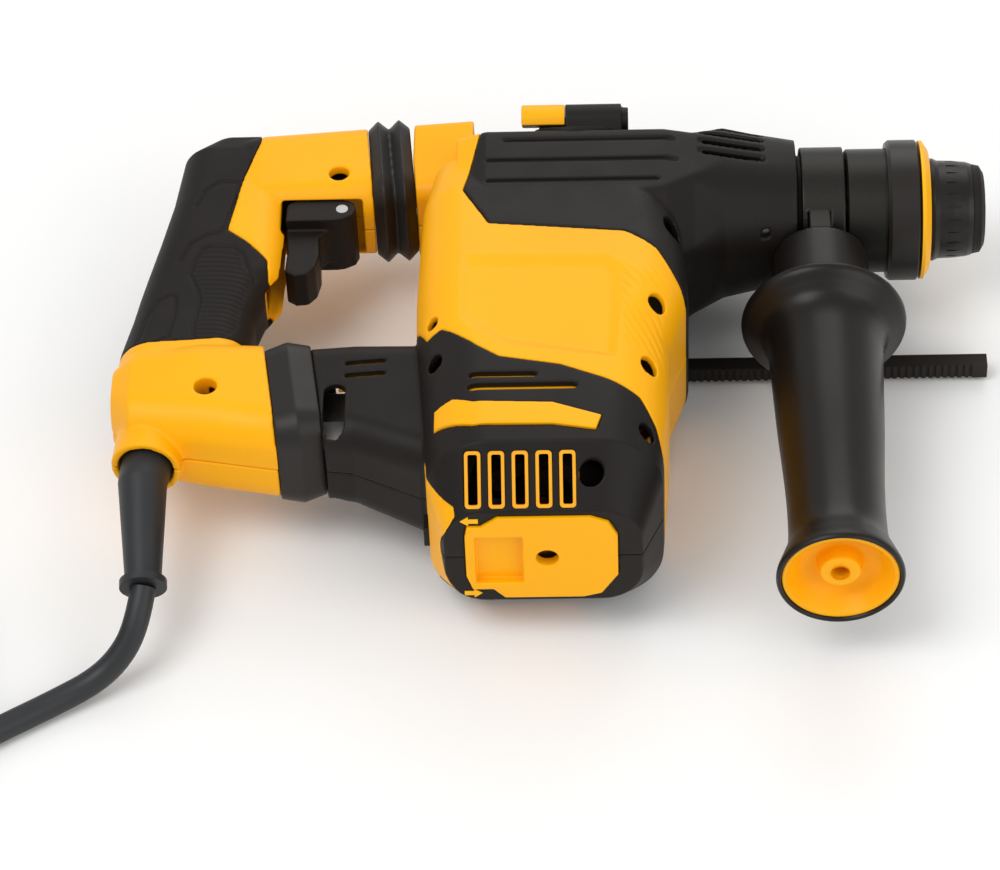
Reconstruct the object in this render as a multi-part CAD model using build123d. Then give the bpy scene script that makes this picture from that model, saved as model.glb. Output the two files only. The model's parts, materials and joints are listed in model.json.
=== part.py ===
from build123d import *
from math import atan2, cos, degrees, pi, sin, sqrt
import os

# A corded SDS rotary and demolition hammer with its motor across the spindle, lying on its right side.
# X runs along the spindle to the nose, Y up the tool away from the motor, Z across it. Sizes are millimetres.

# Overall places
nose_x = 238.0            # front of the rubber nose cap
rear_x = -120.2           # rearmost point of the handle
handle_end_y = -209.8     # end of the side handle
top_y = 43.0              # top of the handle
half_width = 45.0         # half the width of the motor housing
bar_rise = 0.8            # the side bars stand this proud, and the tool lies on them
lying = half_width + bar_rise
origin = Vector((nose_x + rear_x) / 2, (handle_end_y + top_y) / 2, -lying)

# Walls and clearances
wall = 3.0                # moulded housing wall
seam = 0.15               # half the gap between two mouldings that meet
body_gap = 0.4            # gap between pieces that move on each other
running = 0.05            # radial clearance of a shaft in its bearing

# Motor and gear train: shafts along Y
motor_x = 52.0
tooth_module = 1.25
pinion_teeth = 10
crank_teeth = 28
middle_teeth = 30
bevel_module = 1.6
bevel_pinion_teeth = 12
bevel_gear_teeth = 26
gear_low_y = -45.0        # lower face of the spur gears
gear_thick = 8.0
shaft_r = 4.5
core_r = 20.0             # armature core
stator_r = 36.0
air_gap = 0.8
stator_low_y = -152.0
stator_long = 48.0
fan_r = 31.0
commutator_r = 12.0
plate_y = -62.0           # gear plate between motor and gears
plate_thick = 6.0

motor_end_y = -195.0
motor_cap_r = 38.4        # round black cap that bounds the yellow crescent
motor_bevel_y = -176.0    # where the bevelled end starts
bevel_end_z = 25.0        # half width at the foot of the bevel

# Hammer mechanism along X
cylinder_r = 12.5
cylinder_bore = 9.8
cylinder_x0 = 60.0
cylinder_x1 = 150.0
crank_throw = 11.0
rod_long = 40.0
rod_half_y = 3.0          # half thickness of the connecting rod
piston_long = 26.0
tool_r = 5.05             # bore for a 10 mm SDS shank
spindle_front_x = 222.0   # front edge of the tool bore

# Mode selector on the upper side facet
selector_x = 67.0
selector_r = 17.0
selector_high = 12.0

# Front end
barrel_r = 30.0           # gear housing at its front edge
barrel_front_x = 159.0
collar_x0 = 161.0
collar_x1 = 179.5
collar_r = 27.0
snout_r = 23.6            # neck of the gear housing inside the collar
chuck_barrel_r = 26.0
ring_x0 = 197.0
ring_x1 = 210.0
ring_r = 29.5
band_x1 = 214.8
sleeve_x1 = 232.8
ring_stop_x = 200.0       # step of the barrel that stops the quick-change ring
ring_travel = 5.0
ring_seat_r = 23.5
sleeve_room_r = 21.6      # bore that the front sleeve slides into

# Side handle: its axis runs along -Y
side_x = 168.2
guard_y = -68.0
guard_r = 33.9
grip_r = 19.5
flare_r = 25.0
cup_r = 22.8
stud_r = 4.0

# Depth rod
rod_y = -53.5
rod_z = -40.0
rod_size = 7.0
rod_x0 = 107.0

# Rear handle
arm_y = 17.4              # axis of the upper arm
arm_half = 25.5
trigger_pivot = (-31.0, -9.0)
handle_pivot = (-46.0, -120.0)
pin_r = 2.5

# Cord
cord_r = 5.2
coil_centre = (-252.0, -215.0)
coil_mid_r = 57.0
coil_columns = 3
coil_layers = 4
layer_rise = 9.2
cord_points = [
    (-103.7, -197.0, -13.0),
    (-105.2, -206.5, -18.0),
    (-110.5, -215.0, -28.6),
    (-121.5, -222.0, -38.0),
    (-139.0, -232.0, -40.6),
    (-160.0, -245.5, -40.6),
    (-184.0, -262.0, -40.6),
    (-210.0, -275.0, -40.6),
    (-236.0, -282.0, -40.6),
]


def block(x0, x1, y0, y1, z0, z1):
    """Box between two corners."""
    return Pos((x0 + x1) / 2, (y0 + y1) / 2, (z0 + z1) / 2) * Box(x1 - x0, y1 - y0, z1 - z0)


def rod_on_x(x0, x1, r, y=0.0, z=0.0):
    """Cylinder along X."""
    return Pos((x0 + x1) / 2, y, z) * Rot(0, 90, 0) * Cylinder(r, x1 - x0)


def rod_on_y(y0, y1, r, x=0.0, z=0.0):
    """Cylinder along Y."""
    return Pos(x, (y0 + y1) / 2, z) * Rot(90, 0, 0) * Cylinder(r, y1 - y0)


def rod_on_z(z0, z1, r, x=0.0, y=0.0):
    """Cylinder along Z."""
    return Pos(x, y, (z0 + z1) / 2) * Cylinder(r, z1 - z0)


def outline(points, gap=0.0):
    """Flat face on side-view points, facing +Z, drawn in by an optional gap."""
    area = sum(a[0] * b[1] - b[0] * a[1] for a, b in zip(points, points[1:] + points[:1]))
    face = Polygon(*(points if area > 0 else points[::-1]), align=None)
    return offset(face, -gap, kind=Kind.INTERSECTION) if gap else face


def turned_on_x(profile):
    """Solid of revolution about the spindle axis from (x, radius) points."""
    return revolve(Polygon(*profile, align=None), Axis.X)


def turned_on_y(profile, x):
    """Solid of revolution about an axis along Y from (radius, y) points."""
    return Pos(x, 0, 0) * revolve(Polygon(*profile, align=None), Axis.Y)


def plate(points, z0, z1):
    """Side-view outline (x, y) given a thickness from z0 to z1."""
    return Pos(0, 0, z0) * extrude(outline(points), z1 - z0)


def section_on_y(y, x0, x1, half_z, r, inset=0.0):
    """Rounded rectangle across a shape that runs along Y."""
    frame = Plane(origin=((x0 + x1) / 2, y, 0), x_dir=(1, 0, 0), z_dir=(0, -1, 0))
    width = x1 - x0 - 2 * inset
    depth = 2 * (half_z - inset)
    corner = min(max(r - inset, 1.0), 0.49 * width, 0.49 * depth)
    return (frame * RectangleRounded(width, depth, corner)).face()


def section_on_x(x, y0, y1, half_z, r, inset=0.0):
    """Rounded rectangle across a shape that runs along X."""
    frame = Plane(origin=(x, (y0 + y1) / 2, 0), x_dir=(0, 1, 0), z_dir=(1, 0, 0))
    width = y1 - y0 - 2 * inset
    depth = 2 * (half_z - inset)
    corner = min(max(r - inset, 1.0), 0.49 * width, 0.49 * depth)
    return (frame * RectangleRounded(width, depth, corner)).face()


def gear_section(x, top, top_half, shoulder, side, hip, bottom, bottom_half, r, inset=0.0):
    """Eight-sided section of the gear housing, symmetric about the middle plane."""
    half = [(top - inset, top_half - 0.4 * inset), (shoulder - 0.4 * inset, side - inset),
            (hip + 0.4 * inset, side - inset), (bottom + inset, bottom_half - 0.4 * inset)]
    points = half + [(y, -z) for y, z in reversed(half)]
    frame = Plane(origin=(x, 0, 0), x_dir=(0, 1, 0), z_dir=(1, 0, 0))
    shape = outline(points)
    return (frame * fillet(shape.vertices(), max(r - inset, 1.0))).face()


def gear_envelope(inset=0.0):
    """Outer form of the gear housing: shouldered box that narrows to the round barrel."""
    wide = barrel_r + 5.5
    neck = barrel_r + 3.0
    eighth = 0.4142
    front = barrel_front_x
    rows = [(18.0 + inset, 33.4, 12.0, 8.0, 37.0, -40.0, -58.0, 20.0, 5.0),
            (30.0, 34.6, 13.0, 8.0, 41.0, -42.0, -60.0, 22.0, 5.0),
            (104.0, 34.6, 13.0, 8.0, 41.0, -28.0, -52.0, 20.0, 5.0),
            (116.0, 34.6, 13.5, 8.0, 38.5, -19.0, -42.0, 18.0, 7.0),
            (129.0, wide, eighth * wide, eighth * wide, wide, -eighth * wide, -wide, eighth * wide, 26.0),
            (141.0, neck, eighth * neck, eighth * neck, neck, -eighth * neck, -neck, eighth * neck, 26.0),
            (front - inset, barrel_r, eighth * barrel_r, eighth * barrel_r, barrel_r,
             -eighth * barrel_r, -barrel_r, eighth * barrel_r, 26.0)]
    return loft([gear_section(*row, inset=inset) for row in rows], ruled=True)


def motor_envelope(inset=0.0):
    """Outer form around the motor: rounded box along Y with a bevelled end."""
    rows = [(-3.0 - inset, 8.0, 104.0, 36.0, 14.0),
            (-26.0, 4.0, 108.0, 41.0, 18.0),
            (-60.0, 3.0, 112.0, 43.5, 20.0),
            (-82.0, 2.5, 112.5, half_width, 22.0),
            (-108.0, 3.0, 104.5, half_width, 24.0),
            (-146.0, 5.5, 103.0, half_width, 26.0),
            (motor_bevel_y, 8.0, 100.5, half_width, 26.0),
            (motor_end_y + inset, 15.0, 92.0, bevel_end_z, 16.0)]
    return loft([section_on_y(*row, inset=inset) for row in rows], ruled=True)


def stub_envelope(inset=0.0):
    """Rear stub of the motor housing that the upper bellows sits on."""
    rows = [(-1.5 + inset, arm_y - 22.5, arm_y + 23.0, 20.5, 7.0),
            (24.0, arm_y - 24.0, arm_y + 20.0, 25.0, 7.0)]
    return loft([section_on_x(*row, inset=inset) for row in rows], ruled=True)


def bracket_envelope(inset=0.0):
    """Lower bracket that joins the motor cover to the lower bellows."""
    rows = [(-42.0 + inset, -147.0, -93.3, 21.5, 12.0),
            (-22.0, -149.5, -93.8, 23.5, 12.0),
            (22.0, -172.0, -98.0, 27.0, 12.0)]
    return loft([section_on_x(*row, inset=inset) for row in rows], ruled=True)


# Side-view lines where the black and yellow mouldings meet
gear_region = [(27, 62), (29, 16), (21, -28), (32, -50), (87, -56), (100, -66), (113, -88), (190, -88), (190, 62)]
cover_region = [(-60, -86), (-2, -86), (3, -97), (8, -110.5), (14, -109.5), (21, -116), (28, -122.5), (37, -129),
                (61, -134), (76.5, -141), (92, -148.5), (98, -158), (103, -175), (105, -220), (-60, -220)]


def body_shell(inset=0.0):
    """Whole outer form of the body."""
    form = gear_envelope(inset) + motor_envelope(inset) + stub_envelope(inset)
    return form + bracket_envelope(inset)


def side_pair(tool):
    """The same cutter on both sides of the middle plane."""
    return tool + mirror(tool, Plane.XY)


def long_slot(x0, x1, y, width, z0, z1, rise=0.0):
    """Slot with round ends along X, cut from z0 to z1."""
    tilt = degrees(atan2(rise, x1 - x0))
    face = SlotOverall(x1 - x0, width)
    return Pos((x0 + x1) / 2, y, z0) * Rot(0, 0, tilt) * extrude(face, z1 - z0)


def make_gear_housing():
    """Black gear housing with the barrel, its vents, grooves and the neck that the side handle clamps on."""
    region = plate(gear_region, -60, 60)
    outer = gear_envelope() + motor_envelope()
    hollow = gear_envelope(wall) + motor_envelope(wall)
    shell = (outer & region) - hollow
    trim = offset_region(gear_region, seam)
    neck_in = cylinder_r + 2.4
    shell = (shell & trim) - rod_on_x(barrel_front_x - 10, barrel_front_x + 10, neck_in)
    neck = turned_on_x([(barrel_front_x - 4, neck_in), (barrel_front_x - 4, barrel_r - 1.5),
                        (barrel_front_x, barrel_r - 1.5), (barrel_front_x, snout_r),
                        (collar_x1 - 1, snout_r), (collar_x1 - 1, neck_in)])
    shell = shell + neck
    for row in range(4):
        shell -= side_pair(long_slot(119.5, 145.0, 17.0 - 6.4 * row, 2.6, 10, 60))
    for x0, x1, y in ((38, 108, 2.5), (31, 109, -10.0), (31, 101, -22.5)):
        shell -= side_pair(long_slot(x0, x1, y, 1.7, 39.7, 46))
    well = Pos(105.0, -46.0, 30.0) * Rot(0, 35, 0) * Cylinder(6.2, 24)
    shell -= side_pair(well)
    shell -= side_pair(block(143.8, 147.4, -36, -24, 12.5, 16.0))
    shell -= rod_sweep_room()
    shell -= selector_seat()
    return shell


def offset_region(points, gap):
    """Thick plate on a side-view outline, drawn in by a small gap."""
    return Pos(0, 0, -60) * extrude(outline(points, gap), 120)


def on_facet(x, height=0.0):
    """Place on the upper side facet of the gear housing, its local z straight out of the facet."""
    return Pos(x, 21.3, 27.7) * Rot(-46.4, 0, 0) * Pos(0, 0, height)


def selector_seat():
    """Round recess and shaft hole of the mode selector in the upper side facet."""
    return on_facet(selector_x) * (Pos(0, 0, 3) * Cylinder(selector_r + body_gap, 10) + Cylinder(9.4, 30))


def half(solid, side):
    """Half of a two-part moulding: side is 1 for the upper half and -1 for the lower one."""
    keep = block(-300, 300, -300, 300, seam, 100)
    if side < 0:
        keep = mirror(keep, Plane.XY)
    return solid & keep


def make_motor_housing():
    """Yellow motor housing before it is divided into halves."""
    outer = gear_envelope() + motor_envelope() + stub_envelope()
    hollow = gear_envelope(wall) + motor_envelope(wall) + stub_envelope(wall)
    shell = outer - hollow
    shell -= plate(gear_region, -60, 60)
    shell -= plate(cover_region, -60, 60)
    shell -= block(-5, 3, arm_y - 15, arm_y + 15, -14, 14)
    shell -= bellows_gap(*upper_bellows_place)
    shell -= rod_sweep_room()
    floor = [(24.7, -76), (79, -78), (81.5, -84), (79.5, -127), (41, -118), (24.5, -104)]
    rim = [(20, -63), (82, -66), (90, -80), (85, -131.5), (38, -123), (17.5, -107)]
    low = Pos(0, 0, half_width - panel_depth) * outline(floor)
    high = Pos(0, 0, half_width + 0.1) * outline(rim)
    shell -= side_pair(loft([low.face(), high.face()], ruled=True))
    for x, y in ((95.5, -95.5), (93.0, -129.0)):
        shell -= side_pair(Pos(x + 2, y, 36) * Rot(0, 32, 0) * Cylinder(4.4, 22))
    return shell - side_pair(Pos(11.0, -103.5, 36) * Rot(0, -32, 0) * Cylinder(3.0, 20))


panel_depth = 1.8


def rod_sweep_room():
    """Room in the rear walls for the connecting rod at its rear dead centre."""
    half_y = rod_half_y + 0.3
    return block(11.8, 32.0, -6.5, half_y, -16.5, 16.5) + rod_on_y(-16.0, half_y, 16.6, crank_x)


def bevel_frame(x):
    """Plane on the sloping end of the motor cover, its local y up the slope."""
    slope = atan2(half_width - bevel_end_z, motor_bevel_y - motor_end_y)
    middle = (x, (motor_bevel_y + motor_end_y) / 2, (half_width + bevel_end_z) / 2)
    return Plane(origin=middle, x_dir=(1, 0, 0), z_dir=(0, -sin(slope), cos(slope)))


bevel_slots = [27.0 + 9.15 * index for index in range(5)]
bevel_slot_wide = 6.6
bevel_slot_long = 22.5


def rounded_bar(x, width, length, corner, low, high):
    """Upright with a rounded-rectangle section on the bevel of the motor cover."""
    return bevel_frame(x) * Pos(0, -1.2, low) * extrude(RectangleRounded(width, length, corner), high - low)


def make_motor_cover():
    """Black motor cover with its lower bracket, before it is divided into halves."""
    outer = motor_envelope() + bracket_envelope()
    hollow = motor_envelope(wall) + bracket_envelope(wall)
    shell = (outer - hollow) & offset_region(cover_region, seam)
    for x0, x1, y, width in ((25, 52, -139.4, 2.8), (24.7, 67.7, -145.9, 3.4)):
        shell -= side_pair(long_slot(x0, x1, y, width, half_width - 4.0, half_width + 5))
    shell -= side_pair(side_bar(0.0))
    for x in bevel_slots:
        shell -= side_pair(rounded_bar(x, bevel_slot_wide, bevel_slot_long, 1.6, -6, 6))
    shell -= side_pair(Pos(73.0, -184.5, 36.0) * Rot(15, 12, 0) * Cylinder(4.8, 20))
    shell -= side_pair(Pos(93.0, -164.5, 34.0) * Rot(0, 32, 0) * Cylinder(4.2, 20))
    shell -= side_pair(Pos(12.0, -125.5, 36.0) * Rot(0, -32, 0) * Cylinder(4.0, 20))
    shell -= end_plate_form(0.15, 10.0)
    for y in (-109.9, -116.8):
        shell -= side_pair(long_slot(-25.5, -9.0, y, 2.4, 17, 30))
    tall = Pos(-29.2, -134.0, 15) * extrude(Rot(0, 0, 90) * SlotOverall(25.5, 8.6), 20)
    shell -= side_pair(tall)
    shell -= crescent_zone(0.0)
    shell -= block(-31.5, -27.0, -97.0, -90.0, -26, 26)
    shell -= block(-46, -32, -140, -101, -16, 16)
    shell -= bellows_gap(*lower_bellows_place)
    shell -= lever_window()
    return shell


bar_outline = [(11.5, -160.5), (11.5, -151.5), (19, -150.3), (27, -154.3), (58, -155.6), (77, -163), (74.8, -170.4),
               (58, -167.2), (27, -166.8), (18, -163.2)]


def side_bar(gap):
    """Raised yellow bar wrapped on the side of the motor cover, or its pocket when the gap is zero."""
    skin_form = motor_envelope(-bar_rise) - motor_envelope(1.5)
    upper = Pos(0, 0, 20) * extrude(outline(bar_outline, gap), 40)
    return skin_form & upper


def make_side_bars():
    """Raised yellow bar on each side."""
    return side_pair(side_bar(seam))


def crescent_zone(gap):
    """Zone of the yellow crescent at the rear of the motor's end, drawn in by a gap."""
    points = [(-5, -163), (7, -163.5), (13.5, -176), (19.5, -189), (20.5, -200), (-5, -200)]
    zone = Pos(0, 0, -31 + gap) * extrude(outline(points, gap), 55 - 2 * gap)
    return zone - rod_on_y(-210, -150, motor_cap_r + gap, motor_x)


def make_crescent():
    """Yellow surround of the reversing lever, round the rear of the motor's end."""
    skin_form = motor_envelope(0.3) - motor_envelope(wall)
    return (skin_form & crescent_zone(seam)) - lever_window()


def lever_window():
    """Window in the rear of the motor's end where the reversing lever shows."""
    mid = stator_low_y - 19
    ring = rod_on_y(mid - 4.5, mid + 4.5, 60, motor_x) - rod_on_y(mid - 9, mid + 9, 26, motor_x)
    return ring & block(-20, motor_x - 22, mid - 10, mid + 10, -25.4, 5.6)


def end_plate_form(grow, depth):
    """Outline of the end plate as a plate of a given depth from its outer face."""
    points = [(24.2, 17.5), (29.5, 17.5), (36, 22.5), (72, 22.5), (79, 19.5), (82.5, 12), (82.5, -10), (76, -20.5),
              (69, -22.5), (38, -22.5), (33.5, -17.5), (25.5, -17.5), (23.2, -10), (23.2, 12)]
    face = outline([(x, z) for x, z in points], -grow)
    frame = Plane(origin=(0, end_plate_y, 0), x_dir=(1, 0, 0), z_dir=(0, 1, 0))
    mirrored = mirror(face, Plane.XZ)
    return extrude(frame * mirrored, depth)


end_plate_y = -196.4


def make_end_plate():
    """Yellow end plate of the motor with its square recess and round hole."""
    body = end_plate_form(0.0, 4.6)
    body -= block(27.0, 45.5, -200, -192.8, -14, 12)
    body -= rod_on_y(-200, -190.0, 4.4, 55.0)
    return body - block(62, 84, -200, end_plate_y + 0.3, -0.25, 0.25)


def make_vent_liners():
    """Yellow dust liners behind the cooling slots, one solid behind each group."""
    inside = motor_envelope(wall + 0.1)
    upper = block(20, 72, -150.5, -136.5, half_width - wall - 2.2, half_width) & inside
    lower = rounded_bar(bevel_slots[2], 45.4, 25, 2, -wall - 2.0, 2) & inside
    for x in bevel_slots:
        lower += rounded_bar(x, bevel_slot_wide - 0.3, bevel_slot_long - 0.3, 1.5, -wall - 1.0, -0.5)
        lower -= rounded_bar(x, bevel_slot_wide - 2.8, bevel_slot_long - 3.0, 0.8, -12, 2)
    rear = block(-28, -5, -121, -105.5, 17.6, 30) & bracket_envelope(wall + 0.1)
    group = upper + lower + rear
    return group + mirror(group, Plane.XY)


def tooth_outline(teeth, size, root_share=0.30, tip_share=0.15, tip_size=0.85):
    """Spur gear outline with straight-sided teeth."""
    pitch_r = teeth * size / 2
    step = 2 * pi / teeth
    root_r = pitch_r - 1.2 * size
    tip_r = pitch_r + tip_size * size
    root_half = step * root_share
    tip_half = step * tip_share
    points = []
    for index in range(teeth):
        middle = index * step
        for r, angle in ((root_r, -root_half), (tip_r, -tip_half), (tip_r, tip_half), (root_r, root_half)):
            points.append((r * cos(middle + angle), r * sin(middle + angle)))
    return points


def spur_gear(teeth, x, y0, y1, turn=0.0):
    """Spur gear on a shaft along Y; turn rotates a tooth away from +X."""
    frame = Plane(origin=(x, y0, 0), x_dir=(1, 0, 0), z_dir=(0, 1, 0))
    face = Rot(0, 0, turn) * Polygon(*tooth_outline(teeth, tooth_module), align=None)
    return extrude(frame * face, y1 - y0)


def bevel_solid(teeth, frame_large, frame_small, shrink, turn=0.0):
    """Bevel gear between its large and small ends."""
    shape = tooth_outline(teeth, bevel_module, 0.21, 0.10, 0.6)
    large = Rot(0, 0, turn) * Polygon(*shape, align=None)
    small = Rot(0, 0, turn) * Polygon(*[(x * shrink, y * shrink) for x, y in shape], align=None)
    return loft([(frame_large * large).face(), (frame_small * small).face()], ruled=True)


crank_x = motor_x - tooth_module * (pinion_teeth + crank_teeth) / 2
middle_x = motor_x + tooth_module * (pinion_teeth + middle_teeth) / 2
gear_top_y = gear_low_y + gear_thick
bevel_pinion_r = bevel_module * bevel_pinion_teeth / 2
bevel_gear_r = bevel_module * bevel_gear_teeth / 2
bevel_face = 5.5
bevel_shrink = 1 - bevel_face / sqrt(bevel_pinion_r ** 2 + bevel_gear_r ** 2)
wrist_x = crank_x + crank_throw + rod_long


def make_armature():
    """Armature shaft with its pinion; the core, fan and commutator are pressed on it."""
    shaft = rod_on_y(-190, gear_low_y, shaft_r, motor_x)
    return shaft + spur_gear(pinion_teeth, motor_x, gear_low_y, gear_top_y + 1.0)


def make_core():
    """Laminated armature core with its winding slots."""
    core = rod_on_y(stator_low_y, stator_low_y + stator_long, core_r, motor_x)
    for index in range(12):
        slot = Pos(core_r, (2 * stator_low_y + stator_long) / 2, 0) * Box(7, stator_long + 2, 2.0)
        core -= Pos(motor_x, 0, 0) * Rot(0, index * 30, 0) * slot
    return core - rod_on_y(-200, 0, shaft_r, motor_x)


def make_commutator():
    """Copper commutator."""
    low = stator_low_y - 22
    body = rod_on_y(low, low + 14, commutator_r, motor_x)
    for index in range(24):
        cut = Pos(commutator_r, low + 7, 0) * Box(1.6, 16, 0.6)
        body -= Pos(motor_x, 0, 0) * Rot(0, index * 15, 0) * cut
    return body - rod_on_y(-200, 0, shaft_r, motor_x)


def make_fan():
    """Cooling fan above the core."""
    low = stator_low_y + stator_long + 8
    body = rod_on_y(low + 7, low + 9, fan_r, motor_x) + rod_on_y(low, low + 9, 9, motor_x)
    for index in range(14):
        blade = Pos(fan_r * 0.62, low + 3.6, 0) * Rot(0, 25, 0) * Box(fan_r * 0.62, 7.2, 1.4)
        body += Pos(motor_x, 0, 0) * Rot(0, index * 360 / 14, 0) * blade
    body = body & rod_on_y(low, low + 9, fan_r, motor_x)
    return body - rod_on_y(-200, 0, shaft_r, motor_x)


def make_stator():
    """Field core with two field coils joined to it."""
    low = stator_low_y
    body = rod_on_y(low, low + stator_long, stator_r, motor_x)
    body -= rod_on_y(low - 1, low + stator_long + 1, stator_r - 9, motor_x)
    pole = rod_on_y(low, low + stator_long, stator_r - 4, motor_x) & block(20, 90, -200, 0, 12, 40)
    pole += mirror(pole, Plane.XY)
    body = body + pole
    return body - rod_on_y(low - 1, low + stator_long + 1, core_r + air_gap, motor_x)


def make_brush_ring():
    """Reversing ring that carries the brush holders, with the lever that shows at the rear."""
    mid = stator_low_y - 19
    ring = rod_on_y(mid - 3, mid + 3, 31, motor_x) - rod_on_y(mid - 4, mid + 4, 24.5, motor_x)
    for sign in (1, -1):
        holder = block(motor_x - 5.5, motor_x + 5.5, mid - 4.5, mid + 4.5, 14.0, 28.0)
        holder -= block(motor_x - 3.55, motor_x + 3.55, mid - 2.55, mid + 2.55, 10.0, 32.0)
        ring += holder if sign > 0 else mirror(holder, Plane.XY)
    return ring


def make_reversing_lever():
    """Black finger tab of the reversing ring."""
    mid = stator_low_y - 19
    tab = block(motor_x - 46.0, motor_x - 30.0, mid - 4.0, mid + 4.0, -15, -5)
    return tab - rod_on_y(mid - 4, mid + 4, 31, motor_x)


def make_brushes():
    """Two carbon brushes in their holders."""
    mid = stator_low_y - 19
    brush = block(motor_x - 3.5, motor_x + 3.5, mid - 2.5, mid + 2.5, commutator_r + 0.3, 24)
    return brush + mirror(brush, Plane.XY)


def ring_on_y(y0, y1, outer, inner, x):
    """Ring about an axis along Y."""
    return rod_on_y(y0, y1, outer, x) - rod_on_y(y0 - 1, y1 + 1, inner, x)


def ring_on_x(x0, x1, outer, inner):
    """Ring about the spindle axis."""
    return rod_on_x(x0, x1, outer) - rod_on_x(x0 - 1, x1 + 1, inner)


bearing_r = 11.0
spindle_bearing_r = cylinder_r + 7.0


def make_gear_plate():
    """Aluminium plate across the housing that carries the shaft bearings."""
    form = motor_envelope(wall + 0.3) & block(-20, 130, plate_y, plate_y + plate_thick, -60, 60)
    body = form - rod_on_y(plate_y - 1, plate_y + plate_thick + 1, bearing_r, motor_x)
    for x in (crank_x, middle_x):
        body += rod_on_y(plate_y + plate_thick, gear_low_y - 1.2, 8.5, x)
        body -= rod_on_y(plate_y - 1, gear_low_y, shaft_r + running, x)
    return body


def make_bearings():
    """Ball bearings of the armature, drawn as closed rings."""
    front = ring_on_y(plate_y, plate_y + plate_thick, bearing_r, shaft_r + running, motor_x)
    rear = ring_on_y(-188, -182, bearing_r, shaft_r + running, motor_x)
    return front + rear


def make_rear_bearing_seat():
    """Bridge in the motor cover that holds the rear armature bearing."""
    body = motor_envelope(wall + 0.3) & block(-20, 130, -188, -182, -12, 12)
    return body - rod_on_y(-190, -180, bearing_r, motor_x)


def make_crank():
    """Crank shaft with its gear, disc and crank pin."""
    body = spur_gear(crank_teeth, crank_x, gear_low_y, gear_top_y, turn=180.0 / crank_teeth)
    body += rod_on_y(plate_y + 0.5, gear_low_y, shaft_r, crank_x)
    body += rod_on_y(gear_top_y, -14.0, 8.0, crank_x)
    body += rod_on_y(-14.0, -10.0, crank_throw + 5.0, crank_x)
    return body + rod_on_y(-10.0, -rod_half_y - 0.8, 3.5, crank_x + crank_throw)


def make_middle_shaft():
    """Intermediate gear with the bevel pinion that drives the spindle."""
    body = spur_gear(middle_teeth, middle_x, gear_low_y, gear_top_y, turn=180.0 / middle_teeth + 180.0)
    body += rod_on_y(plate_y + 0.5, gear_low_y, shaft_r, middle_x)
    body += rod_on_y(gear_top_y, -bevel_gear_r, 6.5, middle_x)
    large = Plane(origin=(middle_x, -bevel_gear_r, 0), x_dir=(1, 0, 0), z_dir=(0, 1, 0))
    small = Plane(origin=(middle_x, -bevel_gear_r * bevel_shrink, 0), x_dir=(1, 0, 0), z_dir=(0, 1, 0))
    return body + bevel_solid(bevel_pinion_teeth, large, small, bevel_shrink)


def make_spindle_gear():
    """Bevel gear pressed on the spindle cylinder."""
    x_large = middle_x + bevel_pinion_r
    x_small = middle_x + bevel_pinion_r * bevel_shrink
    large = Plane(origin=(x_large, 0, 0), x_dir=(0, -1, 0), z_dir=(-1, 0, 0))
    small = Plane(origin=(x_small, 0, 0), x_dir=(0, -1, 0), z_dir=(-1, 0, 0))
    body = bevel_solid(bevel_gear_teeth, large, small, bevel_shrink, turn=180.0 / bevel_gear_teeth)
    body += rod_on_x(x_large, x_large + 4, bevel_gear_r - 3)
    return body - rod_on_x(x_small - 2, x_large + 6, cylinder_r)


def make_cylinder():
    """Hammer cylinder that is also the spindle; its front bore takes the tool shank."""
    body = rod_on_x(cylinder_x0, cylinder_x1, cylinder_r)
    body += rod_on_x(cylinder_x1, spindle_front_x, cylinder_r - 1.5)
    body -= rod_on_x(cylinder_x0 - 1, cylinder_x1 - 6, cylinder_bore)
    body -= rod_on_x(cylinder_x1 - 7, cylinder_x1 + 16, 7.0)
    body -= rod_on_x(cylinder_x1, sleeve_x1, tool_r)
    for sign in (1, -1):
        body -= block(203.0, 209.0, 4.0 * sign if sign > 0 else -14, 14 if sign > 0 else -4.0, -3.05, 3.05)
    return body


def make_lock_balls():
    """Two locking balls that catch the grooves of the tool shank."""
    ball = Pos(206.0, 7.9, 0) * Sphere(2.95)
    return ball + mirror(ball, Plane.XZ)


def make_piston():
    """Piston with the slot and bore for the connecting rod."""
    front = wrist_x + 16.0
    body = rod_on_x(front - piston_long, front, cylinder_bore - running)
    body -= block(front - piston_long - 1, wrist_x + 7.0, -4.6, 4.6, -12, 12)
    return body - rod_on_y(-12, 12, pin_r, wrist_x)


def make_wrist_pin():
    """Pin that joins piston and connecting rod."""
    return rod_on_y(-8.6, 8.6, pin_r, wrist_x)


def make_con_rod():
    """Connecting rod; its big eye stays just above the crank pin."""
    eye_x = crank_x + crank_throw
    body = rod_on_y(-rod_half_y, rod_half_y, 5.2, eye_x) + rod_on_y(-rod_half_y, rod_half_y, 5.6, wrist_x)
    body += block(eye_x, wrist_x, -rod_half_y, rod_half_y, -2.6, 2.6)
    body -= rod_on_y(-6, 6, 3.6, eye_x)
    return body - rod_on_y(-6, 6, pin_r + running, wrist_x)


def make_ram():
    """Free-flying ram."""
    return rod_on_x(112.0, 130.0, cylinder_bore - running) + rod_on_x(130.0, 138.0, 6.0)


def make_beat_piece():
    """Beat piece between the ram and the tool shank."""
    return rod_on_x(151.0, 163.0, 7.0 - running) + rod_on_x(163.0, 165.4, tool_r - running)


def make_spindle_bearing():
    """Front spindle bearing inside the neck of the gear housing."""
    inner = cylinder_r - 1.5 + running
    return ring_on_x(162.0, 172.0, cylinder_r + 2.4, inner) + ring_on_x(140.0, 149.0, 27.6, cylinder_r + running)


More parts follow.
